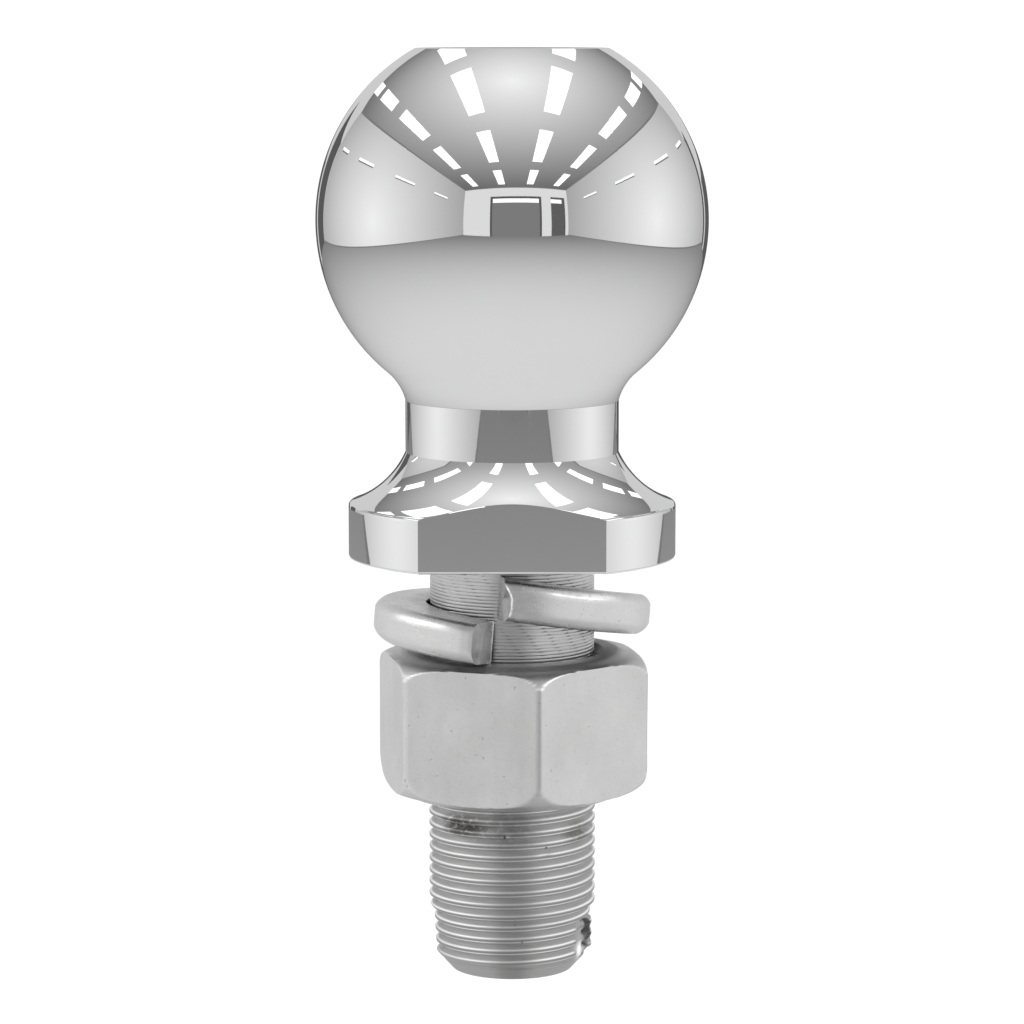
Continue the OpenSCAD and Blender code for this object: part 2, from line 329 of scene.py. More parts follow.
def zinc_material(name, base, rough, edge_gain, grain=1.0):
    """Satin plated steel: cloudy tone, fine grain, a few scratches, bright abraded edges with painted
    highlights that also glow, and dark patches of dirt and painted shade.
    """
    n = Nodes(name)
    place = n.place()
    cloud = n.noise(place, 0.09, 5, 0.6)
    speckle = n.noise(place, 2.2, 4, 0.65)
    smear = n.noise(n.place((1, 1, 0.3)), 0.35, 4, 0.6)
    lines = scratches(n, (0.25, 0.25, 2.4), 0.8, 0.0, 0.012)
    lines_two = scratches(n, (1.6, 0.3, 0.5), 0.6, 0.0, 0.010)
    # Bright share: partly abraded metal, partly painted highlight.
    wear_highlight_share = n.add("ShaderNodeAttribute", attribute_name="wear_and_highlight").outputs["Fac"]
    chipped = n.remap(n.noise(place, 1.1, 4, 0.7), 0.30, 0.52, 0.25, 1, True)
    chipped_wear_highlight = n.math("MULTIPLY", wear_highlight_share, chipped)
    tone = n.mix(n.remap(cloud, 0.3, 0.7, 0, 1), grey(base * 0.93, 0.003), grey(base * 1.04, 0.001))
    tone = n.mix(n.remap(speckle, 0.58, 0.8, 0, 0.35), tone, grey(base * 0.72, 0.004))
    tone = n.mix(n.math("MULTIPLY", lines, 0.30), tone, grey(min(base * 1.2, 1.0)))
    tone = n.mix(n.math("MULTIPLY", lines_two, 0.22), tone, grey(base * 0.62))
    pits = n.remap(n.noise(place, 1.3, 2, 0.5), 0.70, 0.76, 0, 1, True)
    tone = n.mix(n.math("MULTIPLY", pits, 0.55), tone, grey(base * 0.42, 0.004))
    # Dark share: dirt on the sheared ends, and painted shade on the bar beside the hole.
    grime_shade_share = n.add("ShaderNodeAttribute", attribute_name="grime_and_shade").outputs["Fac"]
    blotch = n.remap(n.noise(place, 1.6, 4, 0.65), 0.35, 0.62, 0.35, 1, True)
    tone = n.mix(n.math("MULTIPLY", n.math("MULTIPLY", grime_shade_share, blotch), 0.8), tone, grey(base * 0.30, 0.004))
    tone = n.mix(n.math("MULTIPLY", chipped_wear_highlight, edge_gain), tone, grey(1.0))
    roughness = n.math(
        "ADD", n.remap(smear, 0.3, 0.7, rough - 0.06, rough + 0.07), n.math("MULTIPLY", chipped_wear_highlight, -0.08)
    )
    height = n.math("ADD", n.math("MULTIPLY", speckle, 0.6), n.math("MULTIPLY", cloud, 1.6))
    height = n.math("SUBTRACT", height, n.math("MULTIPLY", lines, 0.5))
    height = n.math("SUBTRACT", height, n.math("MULTIPLY", pits, 1.5))
    bump = n.add("ShaderNodeBump", {"Strength": 0.35 * grain, "Distance": 0.00006, "Height": height})
    # The bright share also drives a painted glow.
    return metal_with_painted_glow(
        n,
        n.math("MULTIPLY", chipped_wear_highlight, edge_gain * 0.22),
        {"Base Color": tone, "Metallic": 1.0, "Roughness": roughness, "Normal": bump.outputs["Normal"]},
    )


def soft_patch(n, place, centre, stretch, inner, outer):
    """1 near a place, fading to 0 between two distances; stretch scales each direction."""
    away = n.vector("MULTIPLY", n.vector("SUBTRACT", place, centre), stretch)
    return n.remap(n.vector("LENGTH", away, out=1), inner, outer, 1, 0, True)


def shank_material():
    """Turned and threaded steel, with an oily stain below the nut, bright crest edges that are partly
    abrasion and partly painted highlight, painted shade along the crest middles, and a painted near-black
    patch in the bruise.
    """
    n = Nodes("machined_steel")
    place = n.place()
    turned = n.noise(n.place((0.15, 0.15, 6)), 1.0, 3, 0.6)
    cloud = n.noise(place, 0.12, 4, 0.6)
    grit = n.noise(place, 1.6, 4, 0.7)
    ragged = n.remap(n.noise(place, 0.9, 4, 0.7), 0.30, 0.52, 0, 1, True)
    wear_highlight_share = n.add("ShaderNodeAttribute", attribute_name="wear_and_highlight").outputs["Fac"]
    tone = n.mix(cloud, grey(0.50, 0.002), grey(0.58, 0.001))
    tone = n.mix(n.remap(grit, 0.62, 0.8, 0, 0.5), tone, grey(0.26, 0.004))
    streaks = n.noise(n.place((0.12, 0.12, 3.5)), 1.0, 3, 0.7)
    tone = n.mix(n.remap(streaks, 0.5, 0.75, 0, 0.45), tone, grey(0.24, 0.004))
    threaded = n.remap(n.add("ShaderNodeSeparateXYZ", {"Vector": place}).outputs["Z"], -22, -18, 1, 0, True)
    tone = n.mix(n.math("MULTIPLY", threaded, 0.72), tone, grey(0.27, 0.002))
    # Painted shade along the middle of each crest.
    crest_shade = n.add("ShaderNodeAttribute", attribute_name="grime_and_shade").outputs["Fac"]
    tone = n.mix(n.math("MULTIPLY", crest_shade, 0.6), tone, grey(0.14, 0.003))
    # Bright crest edges and one spot in the bruise: partly abrasion, partly painted highlight.
    tone = n.mix(n.math("MULTIPLY", wear_highlight_share, 0.8), tone, grey(1.0))
    # Painted shade: a near-black patch in the bruise's torn part, whose surface stays shallow.
    slot_shade = soft_patch(n, place, (11.42, -2.35, -57.7), (0.63, 0.63, 0.36), 0.78, 1.0)
    tone = n.mix(n.math("MULTIPLY", slot_shade, 0.93), tone, grey(0.04))
    # Oily stains: a dark one below the nut on the left, a wide faint one, and streaks on the right
    for centre, stretch, inner, outer, depth in (
        ((-7.9, -9.6, -39.7), (0.22, 0.22, 0.60), 0.4, 1.3, 1.0),
        ((-3.0, -11.8, -39.5), (0.14, 0.14, 0.30), 0.3, 1.4, 0.40),
        ((10.2, -7.0, -41.2), (0.24, 0.24, 0.45), 0.2, 1.2, 0.65),
    ):
        near = soft_patch(n, place, centre, stretch, inner, outer)
        patch = n.math("MULTIPLY", n.math("MULTIPLY", near, ragged), depth)
        tone = n.mix(patch, tone, grey(0.05, 0.004))
    # Dark specks in the four nicks at the front, which also take away the bright crest edges there
    for centre in ((-1.1, -12.35, -41.0), (0.44, -11.9, -54.2), (1.5, -11.8, -57.4), (5.1, -11.2, -42.9)):
        speck = soft_patch(n, place, centre, (3.6, 1.0, 1.5), 0.4, 1.0)
        tone = n.mix(n.math("MULTIPLY", speck, 0.85), tone, grey(0.05))
        wear_highlight_share = n.math("MULTIPLY", wear_highlight_share, n.math("SUBTRACT", 1.0, speck))
    roughness = n.remap(turned, 0.3, 0.7, 0.24, 0.38)
    height = n.math("ADD", turned, n.math("MULTIPLY", grit, 0.5))
    # Worn flanks scatter light almost like the plain shank does.
    level = n.math("SUBTRACT", 1.0, n.math("MULTIPLY", threaded, 0.82))
    keep = n.add("ShaderNodeCombineXYZ", {"X": 1.0, "Y": 1.0, "Z": level}).outputs[0]
    facing = n.vector("MULTIPLY", n.add("ShaderNodeNewGeometry").outputs["Normal"], keep)
    bump = n.add(
        "ShaderNodeBump",
        {"Strength": 0.3, "Distance": 0.00004, "Height": height, "Normal": n.vector("NORMALIZE", facing)},
    )
    metallic = n.math("SUBTRACT", 1.0, n.math("MULTIPLY", threaded, 0.25))
    return metal_with_painted_glow(
        n,
        n.math("MULTIPLY", wear_highlight_share, 0.20),
        {"Base Color": tone, "Metallic": metallic, "Roughness": roughness, "Normal": bump.outputs["Normal"]},
    )


# ---- Forging: ball, neck and collar ----
def arc_points(centre, radius, start, end, count):
    """Points of an arc in the radius-height plane."""
    angles = np.linspace(start, end, count)
    return np.c_[centre[0] + radius * np.cos(angles), centre[1] + radius * np.sin(angles)]


def flare_centre():
    """Centre and outer end of the collar's hollow flare in the radius-height plane."""
    edge = (COLLAR_R - RIM_R, COLLAR_H + RIM_H)
    run, drop = edge[0] - NECK_R, FLARE_TOP_Z - edge[1]
    chord = math.hypot(run, drop)
    rise = math.sqrt(FLARE_R ** 2 - chord ** 2 / 4)
    return (
        (NECK_R + edge[0]) / 2 + rise * drop / chord,
        (FLARE_TOP_Z + edge[1]) / 2 + rise * run / chord,
    ), edge


def collar_top(r):
    """Height of the collar's upper surface at a radius: the hollow flare, then a rounded rim."""
    centre, edge = flare_centre()
    if r <= edge[0]:
        return centre[1] - math.sqrt(FLARE_R ** 2 - (centre[0] - r) ** 2)
    t = 1 - math.sqrt(max(COLLAR_R - r, 0) / RIM_R)
    slope = (centre[0] - edge[0]) / (centre[1] - edge[1])
    middle = edge[1] - RIM_R * slope
    return edge[1] * (1 - t) ** 2 + 2 * middle * t * (1 - t) + COLLAR_H * t * t


def head_profile(limit):
    """Outline of ball, neck and collar, from the flat top down to the seat, for a column whose
    collar reaches out to radius limit."""
    edge_round = 0.35 * MM
    flat_r = math.sqrt(BALL_R ** 2 - (TOP_Z - BALL_Z) ** 2)
    rim_angle = math.atan2(TOP_Z - BALL_Z, flat_r)
    # The fillet touches the ball and leaves the neck at a slight crease.
    c, s = math.cos(CREASE_TURN), math.sin(CREASE_TURN)
    hang = BALL_Z - CREASE_Z
    fillet_r = (NECK_R ** 2 + hang ** 2 - BALL_R ** 2) / (2 * (BALL_R - NECK_R * c - hang * s))
    out, fillet_z = NECK_R + fillet_r * c, CREASE_Z - fillet_r * s
    touch_angle = math.atan2(fillet_z - BALL_Z, out)
    rows = [(0.0, TOP_Z), (flat_r * 0.5, TOP_Z), (flat_r - edge_round * 1.2, TOP_Z)]
    rows += [(flat_r - edge_round * 0.45, TOP_Z - edge_round * 0.07)]
    rows += arc_points((0, BALL_Z), BALL_R, rim_angle - 0.006, touch_angle, 120).tolist()
    fillet = arc_points((out, fillet_z), fillet_r, touch_angle + math.pi, math.pi - CREASE_TURN, 16)
    rows += fillet[1:-1].tolist()
    # A short row on each side keeps the crease sharp.
    tight = 0.05 * MM
    rows += [(NECK_R + tight * s, CREASE_Z + tight * c), (NECK_R, CREASE_Z), (NECK_R, CREASE_Z - tight)]
    rows += [(NECK_R, z) for z in np.linspace(CREASE_Z, FLARE_TOP_Z, 8)[1:]]
    # The flare and rim run out to the collar's side, or to the wrench flat if that comes first.
    soft = 0.14 * MM
    share = np.linspace(0, 1, 34)[1:]
    stop = limit - soft
    reach = NECK_R + (stop - NECK_R) * (1 - (1 - share) ** 1.35)
    rows += [(r, collar_top(r)) for r in reach]
    top_z = min(rows[-1][1], collar_top(limit)) - soft * 0.55
    edge_z = rows[-1][1]
    rows += [(stop + soft * 0.72, edge_z - (edge_z - top_z) * 0.32)]
    bevel = 0.38 * MM
    rows += [(limit, top_z)]
    rows += [(limit, z) for z in np.linspace(top_z - tight, bevel + tight, 5)]
    rows += [(limit, bevel)]
    rows += [(limit - bevel * 0.3, bevel * 0.28), (limit - bevel, 0.0)]
    rows += [(r, 0.0) for r in np.linspace(limit - bevel, SHANK_R - 0.5 * MM, 5)[1:]]
    rows += [(0.0, 0.0)]
    return rows


def head_piece(material):
    """Ball, neck and collar: the outline turned round the axis and cut by the two wrench flats."""
    flat_angle = math.acos(FLAT_Y / COLLAR_R)
    # Column angles are counted from the front (-Y); the flats' four corners get columns of their own.
    angles = set(np.round(np.linspace(0, 2 * math.pi, 361)[:-1], 9).tolist())
    for middle in (0.0, math.pi):
        for side in (-1, 1):
            angles.add(round((middle + side * flat_angle) % (2 * math.pi), 9))
    angles = sorted(angles)
    verts, rows = [], 0
    for angle in angles:
        reach = FLAT_Y / max(abs(math.cos(angle)), 1e-9)
        profile = head_profile(min(COLLAR_R, reach))
        rows = len(profile)
        verts += [(r * math.sin(angle), -r * math.cos(angle), z) for r, z in profile]
    count = len(angles)
    faces = []
    for j in range(count):
        k = (j + 1) % count
        for i in range(rows - 1):
            a, b = j * rows + i, k * rows + i
            if i == 0:
                faces.append((a, a + 1, b + 1))
            elif i == rows - 2:
                faces.append((a, a + 1, b))
            else:
                faces.append((a, a + 1, b + 1, b))
    build_piece("ball_neck_collar", verts, faces, "hitch_ball", material, 16)


# ---- Threads ----
def thread_offset(angle, z):
    """Distance up from the middle of the nearest crest, at an angle from the front and a height."""
    turn = (z - CHAMFER_Z - ROOT_HALF + PITCH / 4) / PITCH - angle / (2 * math.pi) + 0.5
    return (turn - np.floor(turn) - 0.5) * PITCH


def thread_radius(angle, z, grow=0.0):
    """Radius of the full thread at an angle and a height, made larger by grow."""
    away = np.abs(thread_offset(angle, z))
    flank = CREST_R - (away - CREST_HALF) / FLANK
    return smooth_max(smooth_min(flank, CREST_R, 0.07 * MM), ROOT_R, 0.06 * MM) + grow


def turned_radius(z):
    """Radius of the plain shank with its fine turning grooves."""
    groove = 0.52 * MM
    wave = np.abs(np.sin(math.pi * z / groove))
    return SHANK_R - 0.065 * MM * (1 - wave) ** 2


def dent(angle, z, middle, half_angle, low, high):
    """1 inside a smooth-sided patch of the shank and 0 outside it; the last four as for the bruise."""
    half, low_z, high_z = math.radians(half_angle), END_Z + low * MM, END_Z + high * MM
    across = 1 - ease(np.abs(angle - math.radians(middle)), half * 0.45, half)
    return across * ease(z, low_z, low_z + 1.0 * MM) * (1 - ease(z, high_z - 1.0 * MM, high_z))


# The bruise near the end on the right: middle and half-width in degrees, and the lowest and the
# highest place above the shank's end in millimetres
FLAT_SPOT = (64.5, 8.5, 1.6, 8.4)
TORN_SLOT = (76, 7, 2.7, 8.6)
PUSHED_UP = (89, 8, 2.5, 8.4)

# Nicks in the thread: angle in degrees, height, half-widths in degrees and millimetres, depth
NICKS = (
    (23.8, -43.6, 4.0, 0.5, 0.30),
    (-5.1, -41.0, 2.0, 0.6, 0.30),
    (2.1, -54.2, 2.0, 0.6, 0.30),
    (7.2, -57.4, 2.2, 0.5, 0.30),
    (44.0, -46.4, 3.0, 0.6, 0.35),
    (31.0, -46.3, 2.5, 0.5, 0.25),
)


def shank_radius(angle, z):
    """Radius of the whole shank, from the turned plain part to the chamfered end."""
    runout = ease(z, -PLAIN_LEN - 2.6 * MM, -PLAIN_LEN - 0.3 * MM)
    taper = LEAD_LOW_R + (LEAD_R - LEAD_LOW_R) * ramp(z, CHAMFER_Z, LEAD_TOP_Z - 1.3 * MM)
    in_lead = 1 - ease(z, LEAD_TOP_Z - 1.3 * MM, LEAD_TOP_Z + 0.4 * MM)
    # The lead is turned down, and carries the same thread on a smaller radius.
    thread = thread_radius(angle, z) - (CREST_R - taper) * in_lead
    r = thread + (turned_radius(z) - thread) * runout
    slope = (LEAD_LOW_R - END_R) / (CHAMFER_Z - END_Z)
    cone = END_R + (z - END_Z) * slope
    r = smooth_min(r, cone, 0.12 * MM)
    # Handling wear: crests worn unevenly, with a few nicks
    nick = np.clip(ripple(angle * 9, z / MM * 2.1, 3, 9) - 0.75, 0, 1) * 0.10 * MM
    for middle, height, half_angle, half_height, depth in NICKS:
        across = bell(angle, math.radians(middle), math.radians(half_angle))
        nick = nick + depth * MM * across * bell(z, height * MM, half_height * MM)
    r = r - nick * ramp(r, CREST_R - 0.9 * MM, CREST_R)
    # The bruise: threads flattened, a torn slot beside them, and metal pushed up on its far side
    ragged = ripple(angle * 40, z / MM * 3.0, 8, 8)
    r = r + ((11.25 + 0.05 * ragged) * MM - r) * dent(angle, z, *FLAT_SPOT)
    r = r + (np.minimum(r, (11.40 + 0.25 * ragged) * MM) - r) * dent(angle, z, *TORN_SLOT)
    scallop = 0.12 * MM * np.cos(2 * math.pi * thread_offset(angle, z) / PITCH)
    return r + (12.05 * MM + scallop - r) * dent(angle, z, *PUSHED_UP)


def thread_zone(z):
    """1 where the shank carries its thread, fading to 0 above and below."""
    below = 1 - ease(z, -PLAIN_LEN - 3 * MM, -PLAIN_LEN)
    return below * ease(z, CHAMFER_Z - 0.2 * MM, CHAMFER_Z + 0.5 * MM)


def shank_wear_and_highlights(points):
    """Both edges of each crest are bright, partly abrasion and partly painted highlight, more to the sides
    than in front. The bruise has none of it, but one painted highlight."""
    angle, z = around(points), points[:, 2]
    away = thread_offset(angle, z)
    edge, width = 0.31 * MM, 0.085 * MM
    lines = bell(away, edge, width) + 0.95 * bell(away, -edge, width)
    # Painted highlight: the edges grow brighter away from the front.
    side = ease(np.abs(angle), math.radians(6), math.radians(30))
    uneven = 0.85 + 0.25 * ripple(angle * 3, z / MM * 0.6, 41)
    whole = ease(np.abs(angle - math.radians(70)), math.radians(11), math.radians(17))
    whole = np.maximum(whole, ease(z, END_Z + 8 * MM, END_Z + 9 * MM))
    # Painted highlight on the flattened threads of the bruise.
    bruise_highlight = bell(angle, math.radians(65), math.radians(4.5)) * bell(z, END_Z + 3.5 * MM, 1.1 * MM)
    return lines * (0.45 + 0.55 * side) * thread_zone(z) * uneven * whole + 1.2 * bruise_highlight


def shank_crest_shade(points):
    """Painted shade along the middle of each crest, between its two bright edges."""
    angle, z = around(points), points[:, 2]
    return bell(thread_offset(angle, z), 0, 0.14 * MM) * thread_zone(z)


def helical_rows(low_z, high_z, rows_per_turn, angles):
    """Heights of a grid whose rows follow the thread and stop at two level planes. The last column
    of one row is the first of the row one turn higher."""
    step = PITCH / rows_per_turn
    first = math.floor((low_z - CHAMFER_Z) / step) - rows_per_turn
    last = math.ceil((high_z - CHAMFER_Z) / step)
    base = CHAMFER_Z + step * np.arange(first, last + 1)
    z = base[:, None] + PITCH * angles[None, :] / (2 * math.pi)
    return np.clip(z, low_z, high_z)


def surface_grid(low_z, high_z, radius_at, rows_per_turn=24):
    """Points and quads of a threaded surface between two level planes, open at both ends. The first
    and the last column are one line on the surface."""
    z = helical_rows(low_z, high_z, rows_per_turn, COLUMN_ANGLES)
    r = radius_at(np.broadcast_to(wrap_angle(COLUMN_ANGLES), z.shape), z)
    return cylinder_points(r, COLUMN_ANGLES, z), grid_faces(len(z), COLUMNS + 1, wrap=False)


def disc(z, radii):
    """Rings at one height, closed at the middle if the last radius is zero."""
    rings = [cylinder_points(np.broadcast_to(r, COLUMNS), COLUMN_ANGLES[:-1], z) for r in radii]
    return np.concatenate(rings), grid_faces(len(radii), COLUMNS)


def join(*parts):
    """One list of points and one of faces from several."""
    verts, faces = [], []
    for part_verts, part_faces in parts:
        first = len(verts)
        verts += [tuple(v) for v in np.asarray(part_verts).tolist()]
        faces += [tuple(i + first for i in f) for f in part_faces]
    return verts, faces


def shank_piece(material):
    """The shank, which reaches a little way up into the collar."""
    top_z = 0.6 * MM
    angles = wrap_angle(COLUMN_ANGLES[:-1])
    verts, faces = join(
        surface_grid(END_Z, top_z, shank_radius),
        disc(END_Z, [shank_radius(angles, END_Z), END_R * 0.6, END_R * 0.2, 0.0]),
        disc(top_z, [shank_radius(angles, top_z), SHANK_R * 0.5, 0.0]),
    )
    build_piece(
        "threaded_shank", verts, faces, "hitch_ball", material, 50, shank_wear_and_highlights, shank_crest_shade
    )


# ---- Nut ----
def hexagon_radius(angle):
    """Radius of the nut's hexagon at an angle from the front, with rounded corners."""
    half = NUT_AF / 2
    corner = wrap_angle(angle - NUT_CORNER_ANGLE)
    within = (corner + math.pi / 6) % (math.pi / 3) - math.pi / 6
    # A corner lies at within = 0, and the faces' middles at +-30 degrees.
    one = half / np.cos(within - math.pi / 6)
    two = half / np.cos(within + math.pi / 6)
    return smooth_min(one, two, 0.20 * MM)


def barrel_radius(z):
    """Radius of the rounded barrel that trims the nut's corners and shoulders."""
    r = np.full(np.shape(z), NUT_BARREL_R)
    width = 3.25 * MM
    low_r = NUT_BARREL_R - width
    for away, height, start, face_r in (
        (NUT_HIGH.z - z, 2.6 * MM, 0.65 * MM, 15.8 * MM),
        (z - NUT_LOW.z, 4.4 * MM, 1.05 * MM, 15.6 * MM),
    ):
        share = np.clip(1 - (away - start) / height, 0, 1)
        bend = low_r + width * np.sin(np.arccos(share))
        # Within the start of the shoulder the face falls away in a soft S.
        fall = np.clip(away / start, 0, 1)
        slope = face_r + (low_r - face_r) * (0.5 - np.sin(np.arcsin(1 - 2 * fall) / 3))
        r = np.minimum(r, np.where(away < start, slope, bend))
    return r


def nut_outer_radius(angle, z):
    """Radius of the nut's outside, with its small dings."""
    r = smooth_min(hexagon_radius(angle), barrel_radius(z), 0.12 * MM)
    ding = np.clip(ripple(angle * 14, z / MM * 0.8, 21, 9) - 0.85, 0, 1) * 0.12 * MM
    return r - ding - 0.03 * MM * (1 + ripple(angle * 5, z / MM * 0.35, 5))


def nut_wear_and_highlights(points):
    """The nut is bright along the arcs of its shoulders and on its corners, partly abrasion and partly
    painted highlight; the upper arcs are far brighter than the lower.
    """
    angle, z = around(points), points[:, 2]
    hexagon, barrel = hexagon_radius(angle), barrel_radius(z)
    upper = z > (NUT_LOW.z + NUT_HIGH.z) / 2
    # Painted highlight: the upper arcs get the full share, the lower ones little.
    arcs = bell(hexagon, barrel, 0.11 * MM) * np.where(upper, 1, 0.15)
    arcs = arcs * ease(NUT_BARREL_R - barrel, 0.02 * MM, 0.12 * MM)
    corners = ease(hexagon, NUT_BARREL_R - 0.22 * MM, NUT_BARREL_R) * 0.10
    outside = np.hypot(points[:, 0], points[:, 1]) > 16 * MM
    uneven = 0.8 + 0.4 * ripple(angle * 4, z / MM * 0.5, 33)
    return np.where(outside, np.maximum(arcs, corners) * uneven, 0)


def nut_bore_radius(angle, z):
    """The nut's thread, opened out by a countersink at each face."""
    thread = thread_radius(angle, z, THREAD_CLEARANCE)
    top = NUT_TOP_SINK[0] - (NUT_HIGH.z - z) * (NUT_TOP_SINK[0] - NUT_SINK_END_R) / NUT_TOP_SINK[1]
    low = NUT_LOW_SINK[0] - (z - NUT_LOW.z) * (NUT_LOW_SINK[0] - NUT_SINK_END_R) / NUT_LOW_SINK[1]
    return smooth_max(smooth_max(thread, top, 0.1 * MM), low, 0.1 * MM)


def nut_piece(material):
    """The nut: outside, threaded bore and the two end faces."""
    angles = COLUMN_ANGLES[:-1]
    wrapped = wrap_angle(angles)
    # Rows crowd towards both faces, where the shoulders are.
    share = 0.5 - 0.5 * np.cos(math.pi * np.linspace(0, 1, 140))
    z = NUT_LOW.z + (NUT_HIGH.z - NUT_LOW.z) * share
    grid = (len(z), COLUMNS)
    height = np.broadcast_to(z[:, None], grid)
    r = nut_outer_radius(np.broadcast_to(wrapped, grid), height)
    outer = cylinder_points(r, angles, height), grid_faces(len(z), COLUMNS)
    bore = surface_grid(NUT_LOW.z, NUT_HIGH.z, nut_bore_radius, 16)
    # Both end faces, as rings from the bore out to the shoulder
    ends = []
    for level in (NUT_LOW.z, NUT_HIGH.z):
        height = np.full(COLUMNS, level)
        inside, outside = nut_bore_radius(wrapped, height), nut_outer_radius(wrapped, height)
        ends.append(disc(level, [inside * (1 - t) + outside * t for t in (0, 0.25, 0.5, 0.75, 1)]))
    verts, faces = join(outer, bore, *ends)
    build_piece("nut", verts, faces, "hex_nut", material, 50, nut_wear_and_highlights)


# ---- Lock washer ----
WASHER_T_IN = 6.3 * MM
WASHER_T_OUT = 5.9 * MM
WASHER_R0 = 13.1 * MM
WASHER_R1 = 20.8 * MM
WASHER_MID_R = (WASHER_R0 + WASHER_R1) / 2
WASHER_RISE = 6.75 * MM
WASHER_LEAN = math.radians(6.45)
LEAN_TOWARDS = math.radians(-44.5)
WASHER_STEPS = 420
# Angles of the sheared ends in degrees from the front, at the hole and at the outer edge
LOWER_END = (-11.8, -16.0)
UPPER_END = (-10.4, -1.3)


def bar_outline():
    """Rounded outline of the washer's bar, radius against height from its middle."""
    hi, ho = WASHER_T_IN / 2, WASHER_T_OUT / 2
    corners = [
        (WASHER_R0, -hi, 0.35 * MM, 4),
        (WASHER_R1, -ho, 1.7 * MM, 6),
        (WASHER_R1, ho, 1.3 * MM, 6),
        (WASHER_R0, hi, 0.35 * MM, 4),
    ]
    points = []
    for index, (r, h, radius, count) in enumerate(corners):
        before = np.array(corners[index - 1][:2])
        after = np.array(corners[(index + 1) % 4][:2])
        here = np.array((r, h))
        into = (before - here) / np.linalg.norm(before - here)
        out = (after - here) / np.linalg.norm(after - here)
        a, b = here + into * radius, here + out * radius
        for t in np.linspace(0, 1, count):
            curve = (1 - t) ** 2 * a + 2 * t * (1 - t) * here + t ** 2 * b
            points.append(curve * 0.45 + ((1 - t) * a + t * b) * 0.55)
    dense = []
    for index, point in enumerate(points):
        after = points[(index + 1) % len(points)]
        gap = np.linalg.norm(after - point)
        pieces = max(1, int(gap / (0.5 * MM)))
        dense += [point + (after - point) * t / pieces for t in range(pieces)]
    return np.array(dense)


def end_angles(r):
    """Angles, from the front, of the lower and the upper sheared end at radius r."""
    out = ramp(r, WASHER_R0, WASHER_R1)
    return [math.radians(hole) + out * math.radians(edge - hole) for hole, edge in (LOWER_END, UPPER_END)]


def leaned(x, y, z):
    """The loose washer's lean: a turn about a level line through its middle."""
    ux, uy = math.sin(LEAN_TOWARDS), -math.cos(LEAN_TOWARDS)
    c, s = math.cos(WASHER_LEAN), math.sin(WASHER_LEAN)
    along = x * ux + y * uy
    moved = along * c - z * s
    return x + (moved - along) * ux, y + (moved - along) * uy, along * s + z * c


def washer_rings(outline):
    """The bar's outline at each step from the lower end round to the upper, as shear and handling
    left it."""
    out, up = outline.T
    share = np.linspace(0, 1, WASHER_STEPS + 1)
    # Steps crowd towards both ends, for the burr that the shear left.
    share = share - 0.13 * np.sin(2 * math.pi * share)
    outer = ramp(out, WASHER_MID_R, WASHER_R1)
    low, high = end_angles(out)
    # The upper end is torn back along its top edge.
    high = high - math.radians(3.2) * outer * ease(up, 0.2 * MM, 3.0 * MM)
    length = share * 2 * math.pi * WASHER_MID_R
    from_end = np.minimum(length, length[-1] - length)
    # The shear leaves a drawn-down edge and then a thin lip.
    lip = 0.05 * MM * (bell(from_end, 0, 0.16 * MM) - bell(from_end, 0.9 * MM, 0.6 * MM))
    # The lower end's outer edge is rolled over softly.
    roll = 0.30 * MM * (1 - np.sqrt(1 - np.clip(1 - length / (1.5 * MM), 0, 1) ** 2 * 0.96))
    share = share[:, None]
    rough = ripple(share * 30, up / MM * 0.5, 12)
    fine = ripple(share * 160, up / MM * 1.6 + out / MM, 14)
    bumps = np.abs(0.04 * MM * rough + 0.012 * MM * fine) * (out > WASHER_MID_R)
    r = out + (lip - roll)[:, None] * outer - bumps
    h = up * (1 + lip / (3.2 * MM))[:, None]
    angle = low + (high - 2 * math.pi - low) * share
    x, y, z = leaned(r * np.sin(angle), -r * np.cos(angle), WASHER_RISE * (share - 0.5) + h)
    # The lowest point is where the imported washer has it, just above the nut.
    return np.stack([x, y, z + WASHER_LOW.z - z.min()], -1)


def into_bar(rings, end):
    """Middle of a sheared end, at step 0 or the last, and the direction from it into the bar."""
    middle = rings[end].mean(0)
    inward = rings[1 if end == 0 else end - 1].mean(0) - middle
    return middle, inward / np.linalg.norm(inward)


def close_end(verts, faces, rings, end):
    """Adds a sheared face: smooth at the edge, torn and slightly hollow in the middle."""
    ring, count = rings[end], rings.shape[1]
    centre, inward = into_bar(rings, end)
    loops = [end * count]
    for t in (0.12, 0.3, 0.5, 0.7, 0.88):
        loop = ring + (centre - ring) * t
        torn = 0.10 * MM * np.abs(ripple(loop[:, 0] / MM * 2.2, loop[:, 2] / MM * 2.2, 51 + end))
        hollow = 0.10 * MM * math.sin(math.pi * min(t * 1.6, 1) / 2)
        loops.append(len(verts))
        verts += (loop + inward * (torn + hollow)[:, None]).tolist()
    middle = len(verts)
    verts.append((centre + inward * 0.12 * MM).tolist())
    steps = [(j, (j + 1) % count) for j in range(count)]
    for a, b in zip(loops, loops[1:]):
        faces += [(a + j, a + k, b + k, b + j) for j, k in steps]
    faces += [(loops[-1] + j, loops[-1] + k, middle) for j, k in steps]


